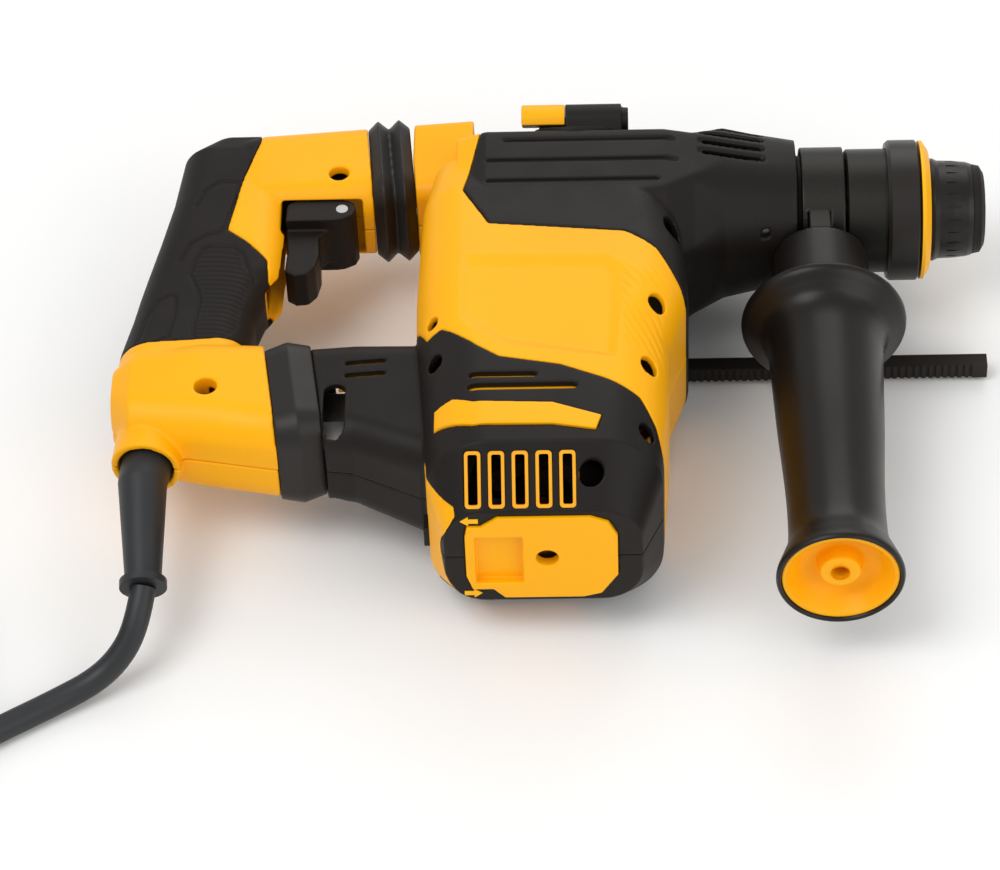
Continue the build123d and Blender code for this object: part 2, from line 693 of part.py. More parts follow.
def make_chuck_barrel():
    """Rotating black barrel of the chuck behind the quick-change ring."""
    inner = cylinder_r - 1.5
    outer = chuck_barrel_r
    front = ring_x1 + 1.0
    profile = [(collar_x1 + 0.5, inner), (collar_x1 + 0.5, outer - 0.8), (collar_x1 + 1.3, outer),
               (ring_stop_x, outer), (ring_stop_x, ring_seat_r), (front, ring_seat_r), (front, sleeve_room_r),
               (front - 2.6, sleeve_room_r), (front - 2.6, 17.0), (ring_x0 - 6, 17.0), (ring_x0 - 6, inner)]
    return turned_on_x(profile)


def make_quick_ring():
    """Quick-change ring that slides back to free the chuck."""
    inner = ring_seat_r + running
    skirt = chuck_barrel_r + 0.3
    r = ring_r
    return turned_on_x([(ring_x0, skirt), (ring_x0, r - 1.2), (ring_x0 + 1.4, r), (ring_x1 - 0.6, r),
                        (ring_x1, r - 0.6), (ring_x1, inner), (ring_stop_x + ring_travel + 0.4, inner),
                        (ring_stop_x + ring_travel + 0.4, skirt)])


def make_yellow_band():
    """Yellow collar in front of the quick-change ring."""
    r = ring_r - 0.4
    front = ring_x1 + 1.0
    profile = [(front, sleeve_room_r), (front, r), (front + 1.4, r), (band_x1, r - 3.6), (band_x1, sleeve_room_r)]
    return turned_on_x(profile)


def make_front_sleeve():
    """Ribbed sleeve that is pulled back to free the tool."""
    inner = 15.5
    x0 = ring_x1 - 8.0
    profile = [(x0, inner), (x0, 17.0 - running), (band_x1 + 0.1, 17.0 - running), (band_x1 + 0.1, 21.2),
               (band_x1 + 2, 21.6), (band_x1 + 4, 20.6), (band_x1 + 10, 20.4), (sleeve_x1 - 2, 19.8),
               (sleeve_x1, 19.2), (sleeve_x1, inner)]
    body = turned_on_x(profile)
    for index in range(24):
        rib = Pos((band_x1 + sleeve_x1) / 2 + 3, 20.8, 0) * Box(9.5, 1.4, 1.1)
        body -= Rot(index * 15, 0, 0) * rib
    return body


def make_nose_cap():
    """Rubber dust cap with the hole for the tool."""
    profile = [(sleeve_x1 - 4.6, 6.0), (sleeve_x1 - 4.6, 15.3), (sleeve_x1 + 0.2, 15.3), (sleeve_x1 + 0.2, 18.9),
               (nose_x - 1.6, 18.2), (nose_x, 15.5), (nose_x, 6.0)]
    return turned_on_x(profile)


def make_sleeve_spring():
    """Spring behind the front sleeve, drawn as a closed tube."""
    return ring_on_x(ring_x0 - 5.5, ring_x1 - 8.4, 14.6, 12.2)


def make_collar():
    """Clamp collar of the side handle around the neck."""
    body = ring_on_x(collar_x0, collar_x1 - 0.4, collar_r, snout_r + running)
    body -= block(collar_x0 - 1, collar_x1 + 1, -60, 0, -8.5, 8.5)
    clamp_width = 9.0
    for sign in (1, -1):
        lug = block(side_x - clamp_width / 2, side_x + clamp_width / 2, -30.5, -19.0, 8.5, 19.0)
        lug -= rod_on_x(side_x - 20, side_x + 20, snout_r + running)
        body += lug if sign > 0 else mirror(lug, Plane.XY)
    return body


def make_handle_base():
    """Base of the side handle that pulls the collar tight and holds the depth rod."""
    top = -collar_r - 3.6
    body = rod_on_y(guard_y + 14, top, 20.0, side_x)
    body += block(side_x - 9, side_x + 9, rod_y - 0.5, rod_y + 14, -33, -14)
    body += block(side_x - 9, side_x + 9, rod_y - 5.6, rod_y + 7.5, rod_z - 5.2, -30.5)
    body -= rod_on_x(side_x - 40, barrel_front_x + 1.5, barrel_r + 3.2)
    hole = rod_size / 2 + running
    body -= block(side_x - 30, side_x + 30, rod_y - hole, rod_y + hole, rod_z - hole, rod_z + hole)
    return body - rod_on_y(-80, 0, stud_r + running, side_x)


def make_stud():
    """Clamp stud with its T head between the collar lugs."""
    return rod_on_y(-92.0, -26.0, stud_r, side_x) + block(side_x - 5, side_x + 5, -26.0, -24.6, -8, 8)


def make_guard_grip():
    """Side-handle grip with its round hand guard; hollow at its end."""
    top = guard_y + 13.6
    end = handle_end_y
    profile = [(stud_r + running, top), (19.0, top), (21.0, top - 2), (25.0, guard_y + 5.5), (31.5, guard_y + 3.2),
               (guard_r - 0.4, guard_y + 1.6), (guard_r, guard_y), (guard_r - 1.2, guard_y - 2.4),
               (30.0, guard_y - 5.6), (26.0, guard_y - 9.5), (grip_r + 4.2, guard_y - 15), (grip_r + 3.4, guard_y - 28),
               (grip_r + 2.0, guard_y - 60), (grip_r + 0.2, guard_y - 92), (grip_r - 0.2, end + 30),
               (grip_r + 0.4, end + 18), (flare_r - 2.6, end + 10), (flare_r - 0.4, end + 4), (flare_r, end + 1.5), (flare_r - 0.6, end),
               (cup_r + 0.15, end), (cup_r + 0.15, end + 5), (16.6, end + 14), (12.0, end + 16), (12.0, guard_y - 26),
               (stud_r + running, guard_y - 26)]
    return turned_on_y(profile, side_x)


def make_end_cup():
    """Yellow cup let into the end of the grip, with its hub tube."""
    end = handle_end_y
    lip = end + 1.2
    profile = [(3.6, lip + 3), (3.6, end + 15.5), (11.7, end + 15.5), (16.3, end + 13.6), (cup_r, end + 4.7),
               (cup_r, lip), (cup_r - 2.0, lip), (14.0, end + 10.6), (8.5, end + 11.5), (7.6, lip + 3)]
    return turned_on_y(profile, side_x)


def make_depth_rod():
    """Toothed depth rod."""
    half_size = rod_size / 2
    body = block(rod_x0, nose_x, rod_y - half_size, rod_y + half_size, rod_z - half_size, rod_z + half_size)
    pitch = 3.0
    count = int((nose_x - rod_x0 - 6) / pitch)
    teeth = [Pos(rod_x0 + 4 + pitch * index, rod_y - half_size, rod_z) * Box(1.3, 1.4, rod_size + 1)
             for index in range(count)]
    return body - Compound(children=teeth)


# Bellows: rear and front plane at the middle, axis height, half height and width, folds, tilt, fold depth
upper_bellows_place = (-19.6, -1.9, arm_y, 27.0, 23.5, 2, 5.0, 4.0)
lower_bellows_place = (-55.5, -37.0, -120.0, 28.5, 25.0, 1, 8.0, 2.5)


def bellows_gap(x0, x1, y, half_y, half_z, folds, tilt, depth):
    """Tilted slab between the two faces that a bellows is held by."""
    reach = half_y + 12
    slab = block(x0 - seam, x1 + seam, y - reach, y + reach, -60, 60)
    middle = ((x0 + x1) / 2, y, 0)
    return Pos(*middle) * Rot(0, 0, tilt) * Pos(-middle[0], -middle[1], 0) * slab


def make_bellows(x0, x1, y, half_y, half_z, folds, tilt, depth):
    """Soft bellows ring: rounded-rectangle rings with folds, open through its middle."""
    step = (x1 - x0) / (2 * folds)
    rows = []
    for index in range(2 * folds + 1):
        grow = 0.0 if index % 2 else -depth
        rows.append((x0 + index * step, grow))
    outer = [section_on_x(x, y - half_y - g, y + half_y + g, half_z + g, 13.0 + g) for x, g in rows]
    inner = [section_on_x(x, y - half_y - g, y + half_y + g, half_z + g, 13.0 + g, inset=3.0) for x, g in rows]
    body = loft(outer, ruled=True) - loft(inner, ruled=True)
    middle = ((x0 + x1) / 2, y, 0)
    return Pos(*middle) * Rot(0, 0, tilt) * Pos(-middle[0], -middle[1], 0) * body


def handle_envelope(inset=0.0):
    """Outer form of the D handle: grip, upper arm, lower arm and cord collar."""
    grip_rows = [(37.0 - inset, -90.0, -50.0, 15.0, 11.0),
                 (27.0, -100.0, -50.0, 18.0, 13.0),
                 (0.0, -103.0, -53.0, 18.5, 14.0),
                 (-24.0, -107.3, -53.5, 18.0, 14.0),
                 (-46.0, -111.5, -54.5, 17.0, 13.0),
                 (-56.0, -113.3, -61.0, 17.0, 13.0),
                 (-70.0, -115.5, -65.0, 17.0, 13.0),
                 (-88.0, -119.0, -66.0, 18.0, 14.0),
                 (-104.0, rear_x + 0.3, -62.0, 20.5, 14.0)]
    arm_rows = [(-90.0 + inset, 2.0, 36.0, 15.0, 11.0),
                (-66.0, arm_y - arm_half, 39.5, 19.0, 12.0),
                (-14.0, arm_y - arm_half + 1, top_y, 20.5, 13.0)]
    low_rows = [(rear_x + inset, -124.0, -97.0, 14.0, 11.0),
                (-112.0, -136.0, -90.0, 20.0, 15.0),
                (-84.0, -141.0, -89.0, 23.0, 15.0),
                (-50.0, -147.5, -91.5, 23.0, 14.0)]
    form = loft([section_on_y(*row, inset=inset) for row in grip_rows], ruled=True)
    form += loft([section_on_x(*row, inset=inset) for row in arm_rows], ruled=True)
    form += loft([section_on_x(*row, inset=inset) for row in low_rows], ruled=True)
    return form + cord_collar(inset)


def cord_collar(inset=0.0):
    """Round collar on the lower arm where the cord leaves."""
    frame = Plane(origin=(-103.5, -124.0, 0), x_dir=(1, 0, 0), z_dir=(-0.08, -1, 0))
    return frame * Pos(0, 0, 10.5) * Cylinder(14.0 - inset, 21.0)


grip_region = [(-66.5, 60), (-66.5, 30), (-72.6, 8.3), (-77.9, -23.9), (-70.5, -30.2), (-60.8, -40.4), (-60.2, -50),
               (-55, -56), (-50, -86.5), (-66, -87.5), (-95, -90), (-140, -94), (-140, 60)]
skin = 2.6


def trigger_pocket():
    """Room for the trigger through the front of the grip."""
    wide = block(-56.6, -22.6, -20.0, 1.0, -15.0, 15.0)
    return wide + block(-61.5, -22.6, -60, 1.0, -9.5, 9.5)


def make_rear_handle():
    """Yellow rear handle before it is divided into halves."""
    outer = handle_envelope() - plate(grip_region, -60, 60)
    core = handle_envelope(skin) & plate(grip_region, -60, 60)
    body = outer + core
    body -= handle_envelope(skin + wall) & block(-130, -40, -140, 40, -13, 13)
    body -= block(-60, 0, 4, 31, -15, 15)
    body -= block(-80, -40, -135, -103, -17, 17)
    body -= bellows_gap(*upper_bellows_place)
    body -= bellows_gap(*lower_bellows_place)
    body -= trigger_pocket()
    body -= side_pair(rod_on_z(14.0, 30, 4.2, -32.5, 7.5))
    body -= side_pair(rod_on_z(12.5, 30, 4.6, -81.0, -121.0))
    bore = Plane(origin=(-103.5, -124.0, 0), x_dir=(1, 0, 0), z_dir=(-0.08, -1, 0))
    return body - bore * Pos(0, 0, 14) * Cylinder(11.2, 30.0)


def make_grip_cover():
    """Rubber cover of the grip."""
    shell = (handle_envelope() - handle_envelope(skin)) & offset_region(grip_region, seam)
    return shell - trigger_pocket()


def make_trigger():
    """Trigger with its paddle and pivot web."""
    side = [(-26.2, -5.0), (-25.0, -9.0), (-26.5, -13.0), (-31.0, -15.5), (-37.0, -16.5), (-40.5, -21.0),
            (-40.0, -31.0), (-41.5, -38.5), (-45.0, -42.8), (-50.0, -43.4), (-54.0, -40.5), (-53.5, -30.0),
            (-54.4, -15.0), (-54.0, -6.0), (-50.0, -3.2), (-31.0, -3.0)]
    body = Pos(0, 0, -9.0) * extrude(outline(side), 18.0)
    web = Pos(0, 0, -14.6) * extrude(outline(side), 29.2)
    body += web & block(-60, -20, -16.0, 0, -20, 20)
    return body - rod_on_z(-20, 20, pin_r + running, *trigger_pivot)


def make_trigger_pin():
    """Pin that the trigger turns on."""
    return rod_on_z(-14.4, 14.4, pin_r, *trigger_pivot)


def make_switch():
    """Switch module behind the trigger."""
    return block(-60, -28, 6, 28, -11, 11)


def make_pivot_pin():
    """Steel pin that the lower arm of the handle swings on."""
    return rod_on_z(-16.0, 16.0, 4.0, *handle_pivot)


def make_pivot_link():
    """Link from the lower bracket that carries the handle pivot pin."""
    x, y = handle_pivot
    body = block(x, -10.0, y - 8, y + 8, -8, 8) + rod_on_z(-8, 8, 8, x, y)
    return body - rod_on_z(-20, 20, 4.0 + running, x, y)


def make_pivot_cheeks():
    """Steel cheeks inside the lower arm that hold the pivot pin."""
    x, y = handle_pivot
    cheek = block(x - 22, x, y - 8, y + 8, 9.0, 14.0) + rod_on_z(9.0, 14.0, 8, x, y)
    cheek -= rod_on_z(-20, 20, 4.0, x, y)
    web = block(x - 22, x - 16, y - 8, y + 8, -14, 14)
    return cheek + mirror(cheek, Plane.XY) + web


def make_arm_spring():
    """Vibration spring in the upper arm, drawn as a closed tube between handle and stub."""
    return ring_on_x(-24.0, 6.0, 7.5, 5.0).moved(Location((0, arm_y, 0)))


def make_spring_seat():
    """Spring plate and guide inside the stub."""
    body = rod_on_x(6.0, 9.0, 14.0, arm_y) + rod_on_x(-8.0, 6.0, 4.7, arm_y)
    return body


def make_arm_tongue():
    """Spring plate inside the upper arm of the handle."""
    return block(-27.0, -24.0, 4.5, 30.5, -14.5, 14.5)


def make_boot():
    """Rubber boot that guards the cord at its exit."""
    start = Vector(-104.4, -135.0, 0)
    middle = Vector(-106.0, -152.0, -1.0)
    end = Vector(*cord_points[0])
    first = Solid.make_cone(10.4, 9.8, (middle - start).length, Plane(start, z_dir=middle - start))
    second = Solid.make_cone(9.8, 7.0, (end - middle).length, Plane(middle, z_dir=end - middle))
    flange = Solid.make_cylinder(9.4, 3.0, Plane(end - (end - middle).normalized() * 3.0, z_dir=end - middle))
    return Part() + first + second + Pos(*middle) * Sphere(9.8) + flange


def cord_path():
    """Route of the cord as straight runs joined by tangent arcs, and the radii of the arcs."""
    points = [Vector(*p) for p in cord_points]
    radii = []
    for before, here, after in zip(points, points[1:], points[2:]):
        turn = (here - before).get_angle(after - here)
        shorter = min((here - before).length, (after - here).length)
        radii.append(0.45 * shorter / tangent(turn / 2))
    return FilletPolyline(*points, radius=radii), radii


def tangent(angle):
    """Tangent of an angle in degrees."""
    return sin(angle * pi / 180) / cos(angle * pi / 180)


def make_cord():
    """The stretch of cord between the boot and the coil."""
    path, radii = cord_path()
    tube = sweep(Plane(path @ 0, z_dir=path % 0) * Circle(cord_r), path)
    print("cord bend radii:", ", ".join(f"{r:.0f}" for r in radii))
    print(f"cord tube volume {tube.volume:.0f}, section times length {pi * cord_r ** 2 * path.length:.0f}")
    print(f"cord run {path.length:.0f} mm")
    return tube


def make_coil():
    """Outer form of the coil that the rest of the cord is wound into."""
    reach = coil_columns * cord_r
    high = 2 * cord_r + (coil_layers - 1) * layer_rise
    ring = Cylinder(coil_mid_r + reach, high) - Cylinder(coil_mid_r - reach, high + 2)
    return Pos(coil_centre[0], coil_centre[1], high / 2 - lying) * ring


plug_r = 14.0
plug_long = 34.0
pin_gap = 13.0             # between the middles of the plug pins
plug_x0 = coil_centre[0] - 16
plug_y = coil_centre[1] - coil_mid_r
plug_z = 2 * cord_r + (coil_layers - 1) * layer_rise - lying + plug_r


def make_plug():
    """Moulded plug that lies on the coil."""
    body = rod_on_x(plug_x0, plug_x0 + plug_long, plug_r, plug_y, plug_z)
    sleeve = Rot(0, 90, 0) * Cone(plug_r - 3.5, cord_r + 1.5, 18)
    return body + Pos(plug_x0 + plug_long + 9, plug_y, plug_z) * sleeve


def make_plug_pins():
    """Two round plug pins."""
    pins = Part()
    for sign in (1, -1):
        pins += rod_on_x(plug_x0 - 19, plug_x0, 2.4, plug_y + pin_gap / 2 * sign, plug_z)
    return pins


def selector_bar(x0, x1, r, low):
    """Rounded grip bar of the mode selector between two distances from its middle."""
    frame = Plane(origin=(x0, 0, 0), x_dir=(0, 1, 0), z_dir=(1, 0, 0))
    face = Pos(0, selector_high / 2 - r) * Rot(0, 0, 90) * SlotOverall(selector_high + 2 * r, 2 * r)
    face -= Pos(0, low - selector_high) * Rectangle(4 * r, 2 * selector_high)
    return extrude(frame * face, x1 - x0)


def make_selector_knob():
    """Mode selector: recessed disc, shaft and the black part of the grip bar."""
    disc = Pos(0, 0, -0.1) * Cylinder(selector_r, 2.6) + Pos(0, 0, -6) * Cylinder(9.4 - running, 12)
    bar = selector_bar(-4.0, 19.6, 7.0, 0.0)
    bar += Pos(20.5, 0, selector_high - 7.0) * Rot(0, 90, 0) * Cylinder(5.4, 4.0)
    spine = Pos(-9.0, 0, 3.0) * Box(12, 5.0, 6.0)
    return on_facet(selector_x) * (disc + bar + spine)


def make_selector_button():
    """Yellow lock button that forms the rear of the grip bar."""
    bar = selector_bar(-22.4, -4.2, 7.0, 2.9) - Pos(-9.0, 0, 3.0) * Box(14, 5.6, 10.0)
    return on_facet(selector_x) * bar


motor_housing = make_motor_housing()
motor_cover = make_motor_cover()
rear_handle = make_rear_handle()
nodes = {
    "gear_housing": make_gear_housing(),
    "motor_housing_left": half(motor_housing, 1),
    "motor_housing_right": half(motor_housing, -1),
    "motor_cover_left": half(motor_cover, 1),
    "motor_cover_right": half(motor_cover, -1),
    "side_bars": make_side_bars(),
    "lever_surround": make_crescent(),
    "end_plate": make_end_plate(),
    "vent_liners": make_vent_liners(),
    "rear_handle_left": half(rear_handle, 1),
    "rear_handle_right": half(rear_handle, -1),
    "grip_cover": make_grip_cover(),
    "trigger": make_trigger(),
    "handle_pins": make_trigger_pin() + make_pivot_pin(),
    "switch_module": make_switch(),
    "upper_bellows": make_bellows(*upper_bellows_place),
    "lower_bellows": make_bellows(*lower_bellows_place),
    "frame_brackets": make_pivot_link() + make_spring_seat(),
    "handle_brackets": make_pivot_cheeks() + make_arm_tongue(),
    "arm_spring": make_arm_spring(),
    "cord_boot": make_boot(),
    "power_cord": make_cord(),
    "cord_coil": make_coil(),
    "plug_body": make_plug(),
    "plug_pins": make_plug_pins(),
    "selector_knob": make_selector_knob(),
    "selector_button": make_selector_button(),
    "armature_shaft": make_armature(),
    "armature_core": make_core(),
    "commutator": make_commutator(),
    "cooling_fan": make_fan(),
    "stator": make_stator(),
    "brush_ring": make_brush_ring(),
    "reversing_lever": make_reversing_lever(),
    "carbon_brushes": make_brushes(),
    "gear_plate": make_gear_plate(),
    "bearings": make_bearings() + make_spindle_bearing(),
    "rear_bearing_seat": make_rear_bearing_seat(),
    "crank_gear": make_crank(),
    "middle_gear": make_middle_shaft(),
    "spindle_gear": make_spindle_gear(),
    "spindle_cylinder": make_cylinder(),
    "lock_balls": make_lock_balls(),
    "piston": make_piston(),
    "wrist_pin": make_wrist_pin(),
    "con_rod": make_con_rod(),
    "ram": make_ram(),
    "beat_piece": make_beat_piece(),
    "chuck_barrel": make_chuck_barrel(),
    "quick_change_ring": make_quick_ring(),
    "yellow_band": make_yellow_band(),
    "front_sleeve": make_front_sleeve(),
    "nose_cap": make_nose_cap(),
    "sleeve_spring": make_sleeve_spring(),
    "clamp_collar": make_collar(),
    "side_handle_base": make_handle_base(),
    "clamp_stud": make_stud(),
    "side_handle_grip": make_guard_grip(),
    "end_cup": make_end_cup(),
    "depth_rod": make_depth_rod(),
}

os.makedirs("parts", exist_ok=True)
for name, solid in nodes.items():
    placed = solid.moved(Location(-origin))
    export_step(placed, f"parts/{name}.step")
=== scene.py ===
import bpy
import bmesh
import json
import numpy as np
from math import cos, pi, radians, sin
from mathutils import Matrix, Vector


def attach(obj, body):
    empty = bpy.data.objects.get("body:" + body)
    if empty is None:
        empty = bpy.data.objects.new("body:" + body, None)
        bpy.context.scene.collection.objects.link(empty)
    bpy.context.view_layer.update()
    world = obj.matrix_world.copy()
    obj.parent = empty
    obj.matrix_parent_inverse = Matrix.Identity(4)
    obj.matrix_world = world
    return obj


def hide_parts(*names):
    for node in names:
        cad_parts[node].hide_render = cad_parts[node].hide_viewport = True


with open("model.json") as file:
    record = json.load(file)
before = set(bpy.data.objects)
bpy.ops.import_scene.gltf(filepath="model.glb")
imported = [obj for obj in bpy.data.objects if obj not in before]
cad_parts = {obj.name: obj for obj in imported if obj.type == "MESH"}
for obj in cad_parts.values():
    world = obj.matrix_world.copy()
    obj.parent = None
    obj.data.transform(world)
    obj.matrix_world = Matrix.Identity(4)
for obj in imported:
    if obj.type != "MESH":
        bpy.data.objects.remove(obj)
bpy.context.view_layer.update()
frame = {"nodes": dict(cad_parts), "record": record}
mm = 0.001
originAt = np.array([58.9, -83.4, -45.8])   # the frame's origin in the tool's own axes, mm
# Tool axes: x along the spindle to the nose, y up the tool away from the motor, z across it


def here(x, y, z):
    return tuple((np.array([x, y, z]) - originAt) * mm)   # tool axes in mm to frame in m


def addToScene(name, data):
    made = bpy.data.objects.new(name, data)
    bpy.context.scene.collection.objects.link(made)
    return made


# Camera: lens in mm, angles in degrees, distance and aim in mm
shot = {"lens": 144.0, "sensor": 36, "clipEnd": 20, "elevation": 45.65, "azimuth": -2.42, "roll": -2.62,
        "distance": 1601.2, "aim": (35.96, -128.89, 0.0)}


def makeCamera():
    e, a, r = radians(shot["elevation"]), radians(shot["azimuth"]), radians(shot["roll"])
    ahead = Vector((sin(a) * cos(e), cos(a) * cos(e), -sin(e)))
    level = Vector((cos(a), -sin(a), 0))
    over = level.cross(ahead)
    right = cos(r) * level + sin(r) * over
    up = cos(r) * over - sin(r) * level
    data = bpy.data.cameras.new("camera")
    data.lens = shot["lens"]
    data.sensor_width = shot["sensor"]
    data.clip_end = shot["clipEnd"]
    cam = addToScene("camera", data)
    turn = Matrix((right, up, -ahead)).transposed().to_4x4()
    place = Vector(here(*shot["aim"])) - ahead * shot["distance"] * mm
    cam.matrix_world = Matrix.Translation(place) @ turn
    bpy.context.scene.camera = cam


makeCamera()
print("camera placed")


def linear(hexColour):
    parts = [int(hexColour[i:i + 2], 16) / 255 for i in (0, 2, 4)]
    return tuple(p / 12.92 if p <= 0.04045 else ((p + 0.055) / 1.055) ** 2.4 for p in parts) + (1.0,)


def addNode(tree, kind, settings=None, links=None):
    made = tree.nodes.new(kind)
    for key, value in (settings or {}).items():
        if isinstance(key, str) and hasattr(made, key) and key not in made.inputs:
            setattr(made, key, value)
        else:
            made.inputs[key].default_value = value
    for key, source in (links or {}).items():
        tree.links.new(source, made.inputs[key])
    return made


def newMaterial(name):
    made = bpy.data.materials.new(name)
    made.use_nodes = True
    tree = made.node_tree
    tree.nodes.clear()
    out = addNode(tree, "ShaderNodeOutputMaterial")
    place = addNode(tree, "ShaderNodeTexCoord").outputs["Object"]
    return made, tree, out, place


def finishMaterial(tree, out, shader):
    tree.links.new(shader.outputs[0], out.inputs["Surface"])


# Moulded plastic or rubber: spark-eroded grain from a fine noise, slow colour drift, and sharply convex edges
# that are a touch lighter. grain and depth are in mm; the grain is coarser than a real one so that it shows
def mouldedLook(name, dark, light, rough, grain, depth, specular=0.5, edge=None):
    made, tree, out, place = newMaterial(name)
    drift = addNode(tree, "ShaderNodeTexNoise", {"Scale": 22.0, "Detail": 3.0}, {"Vector": place})
    colour = addNode(tree, "ShaderNodeMix", {"data_type": "RGBA", 6: linear(dark), 7: linear(light)},
                     {0: drift.outputs["Fac"]})
    tint = colour.outputs[2]
    if edge:
        # sharply convex edges, found from the pointiness of the mesh, are mixed towards a lighter colour
        rim = addNode(tree, "ShaderNodeNewGeometry")
        near = addNode(tree, "ShaderNodeMapRange", {"From Min": 0.53, "From Max": 0.62, "To Max": 0.55},
                       {"Value": rim.outputs["Pointiness"]})
        lighterEdge = addNode(tree, "ShaderNodeMix", {"data_type": "RGBA", 7: linear(edge)},
                       {0: near.outputs[0], 6: tint})
        tint = lighterEdge.outputs[2]
    fine = addNode(tree, "ShaderNodeTexNoise", {"Scale": 1000.0 / grain, "Detail": 2.0}, {"Vector": place})
    wave = addNode(tree, "ShaderNodeTexNoise", {"Scale": 60.0, "Detail": 1.0}, {"Vector": place})
    shine = addNode(tree, "ShaderNodeMapRange", {"To Min": rough - 0.06, "To Max": rough + 0.06},
                    {"Value": wave.outputs["Fac"]})
    bump = addNode(tree, "ShaderNodeBump", {"Strength": 1.0, "Distance": depth * mm},
                   {"Height": fine.outputs["Fac"]})
    shader = addNode(tree, "ShaderNodeBsdfPrincipled", {"IOR": 1.5, "Specular IOR Level": specular},
                     {"Base Color": tint, "Roughness": shine.outputs[0], "Normal": bump.outputs[0]})
    finishMaterial(tree, out, shader)
    return made


# Machined or drawn metal: streaks along one axis
def metalLook(name, dark, light, rough, stretch):
    made, tree, out, place = newMaterial(name)
    laid = addNode(tree, "ShaderNodeMapping", {"Scale": stretch}, {"Vector": place})
    streak = addNode(tree, "ShaderNodeTexNoise", {"Scale": 900.0, "Detail": 3.0}, {"Vector": laid.outputs[0]})
    colour = addNode(tree, "ShaderNodeMix", {"data_type": "RGBA", 6: linear(dark), 7: linear(light)},
                     {0: streak.outputs["Fac"]})
    shine = addNode(tree, "ShaderNodeMapRange", {"To Min": rough - 0.08, "To Max": rough + 0.1},
                    {"Value": streak.outputs["Fac"]})
    bump = addNode(tree, "ShaderNodeBump", {"Strength": 0.5, "Distance": 0.02 * mm},
                   {"Height": streak.outputs["Fac"]})
    shader = addNode(tree, "ShaderNodeBsdfPrincipled", {"Metallic": 1.0},
                     {"Base Color": colour.outputs[2], "Roughness": shine.outputs[0],
                      "Normal": bump.outputs[0]})
    finishMaterial(tree, out, shader)
    return made


# Moulded ABS, glass-filled nylon and rubbers, then the metals of the mechanism
yellowAbs = mouldedLook("yellow_abs", "fbab00", "ffb600", 0.42, 0.5, 0.02, specular=0.22, edge="ffc322")
yellowLiner = mouldedLook("yellow_liner", "f0a000", "f8b000", 0.5, 0.6, 0.02)
blackNylon = mouldedLook("black_glass_nylon", "130f0c", "1b1613", 0.5, 0.6, 0.05, specular=0.22,
                         edge="2c2622")
gripRubber = mouldedLook("grip_rubber", "15110e", "1c1714", 0.6, 0.7, 0.06, specular=0.22, edge="2c2723")
bellowsRubber = mouldedLook("bellows_rubber", "191614", "211d1a", 0.46, 0.8, 0.03, specular=0.35)
cordRubber = mouldedLook("cord_rubber", "1d1e20", "26282a", 0.48, 0.5, 0.03, specular=0.45)
glossBlack = mouldedLook("handle_moulding", "130f0d", "191512", 0.36, 0.6, 0.03, specular=0.3, edge="332e29")
steelLook = metalLook("ground_steel", "8f8f8f", "b9b9b8", 0.32, (1, 1, 6))
darkSteel = metalLook("blackened_steel", "2b2a28", "3b3a37", 0.42, (6, 1, 1))
aluminiumLook = metalLook("cast_aluminium", "a9abad", "c9cbcc", 0.45, (1, 1, 1))
copperLook = metalLook("commutator_copper", "a86a45", "c98a5f", 0.35, (1, 6, 1))
brassLook = metalLook("pin_brass", "b3934a", "d0b068", 0.3, (6, 1, 1))
coreSteel = metalLook("laminated_core", "4f5054", "66676b", 0.5, (1, 9, 1))
print("materials ready")

nodeLooks = {
    "gear_housing": blackNylon, "motor_housing_left": yellowAbs, "motor_housing_right": yellowAbs,
    "motor_cover_left": blackNylon, "motor_cover_right": blackNylon, "side_bars": yellowAbs,
    "lever_surround": yellowAbs, "end_plate": yellowAbs, "vent_liners": yellowLiner,
    "rear_handle_left": yellowAbs,
    "rear_handle_right": yellowAbs, "grip_cover": gripRubber, "trigger": blackNylon, "handle_pins": steelLook,
    "switch_module": blackNylon, "upper_bellows": bellowsRubber, "lower_bellows": bellowsRubber,
    "frame_brackets": steelLook, "handle_brackets": steelLook, "arm_spring": steelLook,
    "cord_boot": cordRubber, "power_cord": cordRubber, "cord_coil": cordRubber, "plug_body": cordRubber,
    "plug_pins": brassLook, "selector_knob": blackNylon, "selector_button": yellowAbs,
    "armature_shaft": steelLook, "armature_core": coreSteel, "commutator": copperLook,
    "cooling_fan": blackNylon, "stator": coreSteel, "brush_ring": blackNylon, "reversing_lever": blackNylon,
    "carbon_brushes": coreSteel, "gear_plate": aluminiumLook, "bearings": steelLook,
    "rear_bearing_seat": aluminiumLook, "crank_gear": steelLook, "middle_gear": steelLook,
    "spindle_gear": steelLook, "spindle_cylinder": steelLook, "lock_balls": steelLook,
    "piston": aluminiumLook, "wrist_pin": steelLook, "con_rod": aluminiumLook, "ram": steelLook,
    "beat_piece": steelLook, "chuck_barrel": darkSteel, "quick_change_ring": glossBlack,
    "yellow_band": yellowAbs, "front_sleeve": glossBlack, "nose_cap": gripRubber, "sleeve_spring": steelLook,
    "clamp_collar": darkSteel, "side_handle_base": glossBlack, "clamp_stud": steelLook,
    "side_handle_grip": glossBlack, "end_cup": yellowAbs, "depth_rod": blackNylon,
}
nodeBody = {node: body for body, nodes in frame["record"]["behaviour"]["bodies"].items() for node in nodes}
for node, look in nodeLooks.items():
    obj = frame["nodes"][node]
    obj.data.materials.clear()
    obj.data.materials.append(look)


def dress(obj, look, node):
    obj.data.materials.clear()
    obj.data.materials.append(look)
    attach(obj, nodeBody[node])
    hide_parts(node)
    return obj


def shadeSmooth(mesh):
    mesh.polygons.foreach_set("use_smooth", np.ones(len(mesh.polygons), bool))


def meshObject(name, points, faces):
    mesh = bpy.data.meshes.new(name)
    mesh.from_pydata(np.asarray(points).tolist(), [], np.asarray(faces).tolist())
    mesh.update()
    return addToScene(name, mesh)


